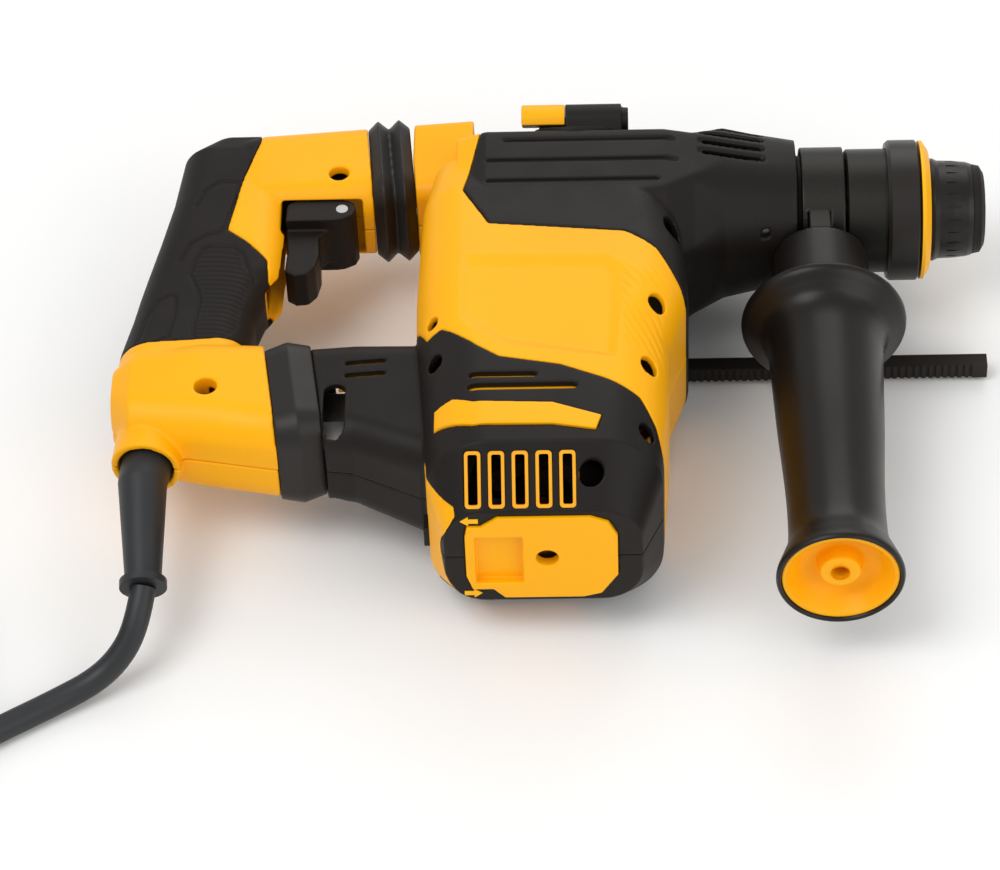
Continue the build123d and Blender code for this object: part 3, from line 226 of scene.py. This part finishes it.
def faceOutwards(mesh):
    work = bmesh.new()
    work.from_mesh(mesh)
    bmesh.ops.recalc_face_normals(work, faces=work.faces)
    work.to_mesh(mesh)
    work.free()


# Power cord, in mm: a listed route, the coil that the rest is wound into, and the end up to the plug
cord = {"radius": 5.2, "length": 4.0, "coilMiddle": (-252.0, -215.0), "coilRadius": 57.0, "columns": 3,
        "layers": 4, "rise": 9.2, "floor": -40.6, "pointsPerTurn": 16, "turns": 10.62, "layerTurns": 2.7}
cordRoute = [
    (-103.7, -197.0, -13.0),
    (-105.2, -206.5, -18.0),
    (-110.5, -215.0, -28.6),
    (-121.5, -222.0, -38.0),
    (-139.0, -232.0, -40.6),
    (-160.0, -245.5, -40.6),
    (-184.0, -262.0, -40.6),
    (-210.0, -275.0, -40.6),
    (-236.0, -282.0, -40.6),
]
plugTail = [(-189.5, -222.0, -11.5), (-191.5, -238.0, -7.0), (-197.5, -254.0, 0.0), (-207.0, -267.0, 5.2),
            (-216.0, -272.0, 6.2), (-222.0, -272.0, 6.2)]


def coilPoints():
    # a wound coil: the radius swings across the columns while the height climbs a layer at each end
    steps = np.arange(int(cord["turns"] * cord["pointsPerTurn"]))
    turn = steps / cord["pointsPerTurn"]
    angle = -pi / 2 - 0.12 - 2 * pi * turn
    spread = (cord["columns"] - 1) * cord["radius"]
    cycle = turn / cord["layerTurns"]
    layer = np.minimum(np.floor(cycle), cord["layers"] - 1)
    share = np.clip((cycle - layer) * 1.35, 0, 1)
    swing = np.where(layer % 2 == 0, 1 - 2 * share, 2 * share - 1)
    r = cord["coilRadius"] + spread * swing + 0.5 * np.sin(turn * 5.1)
    climb = np.clip((cycle - layer - 0.74) / 0.26, 0, 1)
    z = cord["floor"] + cord["rise"] * np.minimum(layer + climb, cord["layers"] - 1)
    x = cord["coilMiddle"][0] + r * np.cos(angle)
    y = cord["coilMiddle"][1] + r * np.sin(angle)
    return np.stack([x, y, z], axis=1)


def makeCord():
    points = cordRoute + coilPoints().tolist() + plugTail
    curve = bpy.data.curves.new("power_cord_flex", "CURVE")
    curve.dimensions = "3D"
    curve.bevel_depth = cord["radius"] * mm
    curve.bevel_resolution = 5
    curve.resolution_u = 6
    spline = curve.splines.new("NURBS")
    spline.points.add(len(points) - 1)
    for slotPoint, place in zip(spline.points, points):
        slotPoint.co = (*here(*place), 1.0)
    spline.order_u = 3
    spline.use_endpoint_u = True
    obj = addToScene("power_cord_flex", curve)
    curve.materials.append(cordRubber)
    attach(obj, "rear_handle")
    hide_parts("power_cord", "cord_coil")
    return obj


cordPiece = makeCord()
print("cord laid")


# Moulded pieces from the frame, their edges rounded as a moulding's are: voxel size in mm, rounds of
# smoothing, and the most triangles that are kept
moulding = {
    "gear_housing": {"voxel": 0.7, "rounds": 2, "limit": 195000},
    "motor_housing_left": {"voxel": 0.55, "rounds": 5, "limit": 180000},
    "motor_housing_right": {"voxel": 0.7, "rounds": 4, "limit": 120000},
    "motor_cover_left": {"voxel": 0.5, "rounds": 4, "limit": 180000},
    "motor_cover_right": {"voxel": 0.6, "rounds": 4, "limit": 120000},
    "side_bars": {"voxel": 0.35, "rounds": 4, "limit": 60000},
    "end_plate": {"voxel": 0.35, "rounds": 4, "limit": 90000},
    "lever_surround": {"voxel": 0.3, "rounds": 3, "limit": 60000},
    "reversing_lever": {"voxel": 0.3, "rounds": 5, "limit": 30000},
    "rear_handle_left": {"voxel": 0.6, "rounds": 8, "limit": 180000},
    "rear_handle_right": {"voxel": 0.7, "rounds": 8, "limit": 120000},
    "grip_cover": {"voxel": 0.66, "rounds": 3, "limit": 195000},
    "trigger": {"voxel": 0.45, "rounds": 8, "limit": 60000},
    "selector_knob": {"voxel": 0.4, "rounds": 5, "limit": 50000},
    "selector_button": {"voxel": 0.35, "rounds": 8, "limit": 30000},
    "side_handle_base": {"voxel": 0.6, "rounds": 6, "limit": 60000},
    "upper_bellows": {"voxel": 0.5, "rounds": 6, "limit": 100000},
    "lower_bellows": {"voxel": 0.5, "rounds": 6, "limit": 100000},
    "clamp_collar": {"voxel": 0.5, "rounds": 3, "limit": 60000},
    "plug_body": {"voxel": 0.8, "rounds": 8, "limit": 40000},
}


def coordinates(mesh):
    flat = np.empty(len(mesh.vertices) * 3)
    mesh.vertices.foreach_get("co", flat)
    return flat.reshape(-1, 3)


def normals(mesh):
    flat = np.empty(len(mesh.vertices) * 3)
    mesh.vertex_normals.foreach_get("vector", flat)
    return flat.reshape(-1, 3)


def strokeDistance(x, y, corners):
    # shortest distance from each point to a chain of straight strokes
    best = np.full(len(x), 1e3)
    for (x0, y0), (x1, y1) in zip(corners, corners[1:]):
        dx, dy = x1 - x0, y1 - y0
        along = np.clip(((x - x0) * dx + (y - y0) * dy) / (dx * dx + dy * dy), 0, 1)
        best = np.minimum(best, np.hypot(x - x0 - along * dx, y - y0 - along * dy))
    return best


def insideOf(x, y, corners):
    # even-odd test of each point against a closed outline
    hit = np.zeros(len(x), bool)
    for (x0, y0), (x1, y1) in zip(corners, corners[1:] + corners[:1]):
        if y0 != y1:
            hit ^= ((y0 > y) != (y1 > y)) & (x < (x1 - x0) * (y - y0) / (y1 - y0) + x0)
    return hit


def soft(value, low, high):
    # smooth step: 0 below low, 1 above high
    share = np.clip((value - low) / (high - low), 0, 1)
    return share * share * (3 - 2 * share)


# Grip cover: seams on the side of the grip in mm, and the palm pad's ribs
gripLines = {
    "upperPad": [(-92, -10), (-89, -1), (-83, 5), (-74.5, 4.5), (-75, -5), (-79, -22), (-81, -26), (-86, -27),
                 (-93, -32), (-97, -42)],
    "palm": [(-79, -94), (-85, -91), (-88.5, -87), (-88.5, -80), (-87, -66), (-88, -60), (-92, -50),
             (-90.5, -42), (-87, -35), (-84, -33.5), (-75, -34.5), (-71, -38.5), (-69, -46),
             (-62, -58), (-60, -64)],
    "lowPad": [(-109, -94), (-99, -88), (-97, -75), (-97, -64), (-99, -62), (-104, -65), (-108, -74),
               (-111, -91)],
}


grip = {"seamDeep": 0.9, "seamHalf": 0.7, "ribDeep": 0.45, "ribPitch": 2.7, "ribBow": 0.012, "ribRim": 1.6,
        "bowMiddle": -84}


def gripShape(at, normal):
    # seams are narrow round-bottomed grooves; the palm pad carries ribs that bow downwards to the front
    x, y = at[:, 0], at[:, 1]
    facing = soft(np.abs(normal[:, 2]), 0.35, 0.7) * soft(np.abs(at[:, 2]), 14.0, 15.5)
    depth = np.zeros(len(x))
    for line in gripLines.values():
        depth += grip["seamDeep"] * np.exp(-(strokeDistance(x, y, line) / grip["seamHalf"]) ** 2)
    palm = insideOf(x, y, gripLines["palm"]) & (strokeDistance(x, y, gripLines["palm"]) > grip["ribRim"])
    bow = grip["ribBow"] * (x - grip["bowMiddle"]) ** 2
    rib = 0.5 + 0.5 * np.cos(2 * pi * (y + bow) / grip["ribPitch"])
    depth += grip["ribDeep"] * palm * rib
    return -normal * (depth * facing)[:, None]


# Front shoulder of the motor housing: fine grooves, kept clear of the screw wells
shoulder = {"deep": 0.45, "pitch": 3.6, "half": 0.5, "bow": 0.006, "wells": ((95.5, -95.5), (93.0, -129.0)),
            "wellFrom": 5.5, "wellTo": 8.0}


def housingShape(at, normal):
    # fine bowed grooves across the front shoulder of the motor housing
    x, y = at[:, 0], at[:, 1]
    band = soft(x, 84, 88) * (1 - soft(x, 100, 103)) * soft(y, -126, -120) * (1 - soft(y, -84, -74))
    across = x * 0.8 + y * 0.6 - shoulder["bow"] * (x - 90) * (y + 100)
    groove = np.exp(-((np.mod(across, shoulder["pitch"]) - shoulder["pitch"] / 2) / shoulder["half"]) ** 2)
    clear = 1.0
    for spot in shoulder["wells"]:
        clear = clear * soft(np.hypot(x - spot[0], y - spot[1]), shoulder["wellFrom"], shoulder["wellTo"])
    facing = soft(np.abs(normal[:, 2]), 0.25, 0.5)
    return -normal * (shoulder["deep"] * band * groove * clear * facing)[:, None]


# Gear housing: grooves on the flat wing as front x, rear x and level, and vents one pitch apart on the barrel
gearDetail = {"grooves": ((38, 108, 2.5), (31, 109, -10.0), (31, 101, -22.5)), "grooveDeep": 1.1,
              "grooveHalf": 0.8, "vents": 4, "ventTop": 17.0, "ventPitch": 6.4, "ventFrom": 120,
              "ventTo": 144.5, "ventDeep": 1.6, "ventHalf": 1.3}


def gearShape(at, normal):
    # three long grooves on the flat wing and four vents on the barrel, deepened after the edges are rounded
    x, y = at[:, 0], at[:, 1]
    d = gearDetail
    depth = np.zeros(len(x))
    for x0, x1, level in d["grooves"]:
        groove = strokeDistance(x, y, [(x0, level), (x1, level)]) / d["grooveHalf"]
        depth += d["grooveDeep"] * np.exp(-groove ** 2)
    for row in range(d["vents"]):
        level = d["ventTop"] - d["ventPitch"] * row
        vent = strokeDistance(x, y, [(d["ventFrom"], level), (d["ventTo"], level)]) / d["ventHalf"]
        depth += d["ventDeep"] * np.exp(-vent ** 2)
    return -normal * (depth * soft(normal[:, 2] * np.sign(at[:, 2]), 0.45, 0.7))[:, None]


def applyModifiers(obj):
    depsgraph = bpy.context.evaluated_depsgraph_get()
    done = bpy.data.meshes.new_from_object(obj.evaluated_get(depsgraph))
    obj.modifiers.clear()
    obj.data = done
    return done


def mouldedFrom(node, shape=None):
    setting = moulding[node]
    mesh = frame["nodes"][node].data.copy()
    work = bmesh.new()
    work.from_mesh(mesh)
    bmesh.ops.remove_doubles(work, verts=work.verts, dist=1e-6)
    work.to_mesh(mesh)
    work.free()
    obj = addToScene(node + "_moulding", mesh)
    remesh = obj.modifiers.new("remesh", "REMESH")
    remesh.mode = "VOXEL"
    remesh.voxel_size = setting["voxel"] * mm * 1
    remesh.use_smooth_shade = True
    soften = obj.modifiers.new("soften", "SMOOTH")
    soften.factor = 0.5
    soften.iterations = setting["rounds"]
    done = applyModifiers(obj)
    if shape:
        spots = coordinates(done)
        moved = spots + shape(spots / mm + originAt, normals(done)) * mm
        done.vertices.foreach_set("co", moved.ravel())
        done.update()
    count = 2 * len(done.polygons)
    if count > setting["limit"]:
        thin = obj.modifiers.new("thin", "DECIMATE")
        thin.ratio = setting["limit"] / count
        done = applyModifiers(obj)
    shadeSmooth(done)
    print(node, "moulded,", len(done.polygons), "faces")
    return dress(obj, nodeLooks[node], node)


shapes = {"gear_housing": gearShape, "grip_cover": gripShape, "motor_housing_left": housingShape,
          "motor_housing_right": housingShape}
for node in moulding:
    mouldedFrom(node, shapes.get(node))
print("mouldings made")

# Arrows, in mm; sunk is how far they reach into the cover
arrow = {"long": 7.0, "shaft": 1.1, "head": 2.4, "neck": 3.2, "face": -195.0, "proud": 0.35, "sunk": 0.3}


def makeArrow(name, x, z, way):
    # small moulded arrow on the end of the motor cover, for the direction of turn
    half, neck = arrow["long"] / 2, arrow["long"] / 2 - arrow["neck"]
    side = [(-half, -arrow["shaft"]), (neck, -arrow["shaft"]), (neck, -arrow["head"]), (half, 0.0),
            (neck, arrow["head"]), (neck, arrow["shaft"]), (-half, arrow["shaft"])]
    count = len(side)
    levels = (arrow["face"] + arrow["sunk"], arrow["face"] - arrow["proud"])
    points = [here(x + way * px, y, z + pz) for y in levels for px, pz in side]
    around = [(i, (i + 1) % count, (i + 1) % count + count, i + count) for i in range(count)]
    mesh = bpy.data.meshes.new(name)
    mesh.from_pydata(points, [], around + [tuple(range(count))[::-1], tuple(range(count, 2 * count))])
    faceOutwards(mesh)
    made = addToScene(name, mesh)
    mesh.materials.append(yellowAbs)
    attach(made, "frame")


makeArrow("arrow_upper", 25.2, 20.4, -1)
makeArrow("arrow_lower", 25.6, -20.6, 1)


def smoothProfile(corners, steps=10):
    # Catmull-Rom curve through the corners of a profile
    p = np.array([corners[0], *corners, corners[-1]], float)
    t = np.linspace(0, 1, steps, endpoint=False)[:, None]
    parts = [0.5 * (2 * b + (c - a) * t + (2 * a - 5 * b + 4 * c - d) * t ** 2
                    + (3 * b - a - 3 * c + d) * t ** 3)
             for a, b, c, d in zip(p, p[1:], p[2:], p[3:])]
    return np.vstack(parts + [p[-1:]])


def turnedPiece(name, profile, through, around=160):
    # surface of revolution about a line along y: x and z are the profile's radius times the cosine and the
    # sine of the angle, y is the profile's place along the line
    angle = np.linspace(0, 2 * pi, around, endpoint=False)
    r, along = profile[:, 0][:, None], np.repeat(profile[:, 1][:, None], around, axis=1)
    points = np.stack([through + r * np.cos(angle), along, r * np.sin(angle)], axis=-1)
    points = (points.reshape(-1, 3) - originAt) * mm
    rows, rim = len(profile), np.arange(around)
    i = np.arange(rows)[:, None] * around
    j = np.roll(np.arange(rows), -1)[:, None] * around
    nextRim = np.roll(rim, -1)
    faces = np.stack([i + rim, j + rim, j + nextRim, i + nextRim], axis=-1).reshape(-1, 4)
    made = meshObject(name, points, faces)
    faceOutwards(made.data)
    shadeSmooth(made.data)
    return made


# Side handle, in mm: its axis is a line along y; guard and end are places on it, the rest are radii
sideHandle = {"x": 168.2, "guard": -68.0, "end": -209.8, "grip": 19.5, "flare": 25.0, "cup": 22.8}


def makeSideGrip():
    g, e, r, f, c = (sideHandle[k] for k in ("guard", "end", "grip", "flare", "cup"))
    outer = smoothProfile([(19.0, g + 13.6), (20.6, g + 12.4), (22.0, g + 8.5), (25.5, g + 5.3),
                           (31.0, g + 3.4), (33.2, g + 1.6), (33.8, g), (32.8, g - 2.2), (29.4, g - 5.2),
                           (25.8, g - 9.0),
                           (r + 4.2, g - 15), (r + 3.4, g - 28), (r + 2.0, g - 60), (r + 0.2, g - 92),
                           (r - 0.2, e + 30), (r + 0.4, e + 18), (f - 2.6, e + 10), (f - 0.5, e + 4.2),
                           (f, e + 1.7), (f - 0.6, e + 0.2), (c + 0.9, e)])
    inner = [(c + 0.2, e + 0.6), (c + 0.15, e + 5), (16.6, e + 14), (12.0, e + 16), (12.0, g - 26),
             (4.05, g - 26), (4.05, g + 13.6)]
    made = turnedPiece("side_grip_turned", np.vstack([outer, inner]), sideHandle["x"])
    return dress(made, glossBlack, "side_handle_grip")


def makeEndCup():
    e, c = sideHandle["end"], sideHandle["cup"]
    lip = e + 1.2
    profile = smoothProfile([(3.6, lip + 3), (3.6, lip + 3), (3.6, e + 15.4), (3.6, e + 15.4),
                             (11.6, e + 15.4), (11.6, e + 15.4), (16.2, e + 13.5), (c - 0.1, e + 4.8),
                             (c - 0.1, e + 4.8),
                             (c - 0.1, lip + 0.5), (c - 0.5, lip), (c - 1.6, lip), (c - 2.2, lip + 0.6),
                             (16.5, e + 9.0), (12.4, e + 11.2), (9.2, e + 10.6), (8.3, e + 7.0),
                             (7.9, lip + 3.6), (7.2, lip + 3.0), (4.2, lip + 3.0)], 6)
    made = turnedPiece("end_cup_turned", profile, sideHandle["x"])
    return dress(made, yellowAbs, "end_cup")


makeSideGrip()
makeEndCup()
print("side grip turned")


# White paper floor, an even world light and three soft area lights: places and sizes in metres, power in watts
studio = {"floorHalf": 6.0, "paper": "f7f7f6", "world": 0.62}
lights = {
    "key": {"place": (-0.7, -0.5, 1.5), "aim": (0, 0, 0), "size": 0.9, "power": 11},
    "fill": {"place": (1.1, -0.9, 0.9), "aim": (0, 0, 0), "size": 1.2, "power": 7},
    "rim": {"place": (0.2, 1.2, 1.0), "aim": (0, 0, 0.05), "size": 1.0, "power": 5},
}


def makeFloor():
    made, tree, out, place = newMaterial("paper_floor")
    shader = addNode(tree, "ShaderNodeBsdfPrincipled",
                     {"Base Color": linear(studio["paper"]), "Roughness": 0.9})
    finishMaterial(tree, out, shader)
    half = studio["floorHalf"]
    floor = meshObject("floor", [(-half, -half, 0), (half, -half, 0), (half, half, 0), (-half, half, 0)],
                       [(0, 1, 2, 3)])
    floor.data.materials.append(made)


def addLight(name, place, aim, size, power):
    data = bpy.data.lights.new(name, "AREA")
    data.energy = power
    data.size = size
    obj = addToScene(name, data)
    obj.location = place
    obj.rotation_euler = (Vector(aim) - Vector(place)).to_track_quat("-Z", "Y").to_euler()


makeFloor()
world = bpy.data.worlds.new("studio")
world.use_nodes = True
world.node_tree.nodes["Background"].inputs[0].default_value = (1, 1, 1, 1)
world.node_tree.nodes["Background"].inputs[1].default_value = studio["world"]
bpy.context.scene.world = world
for name, light in lights.items():
    addLight(name, **light)
bpy.context.scene.view_settings.view_transform = "Standard"
print("stage lit")
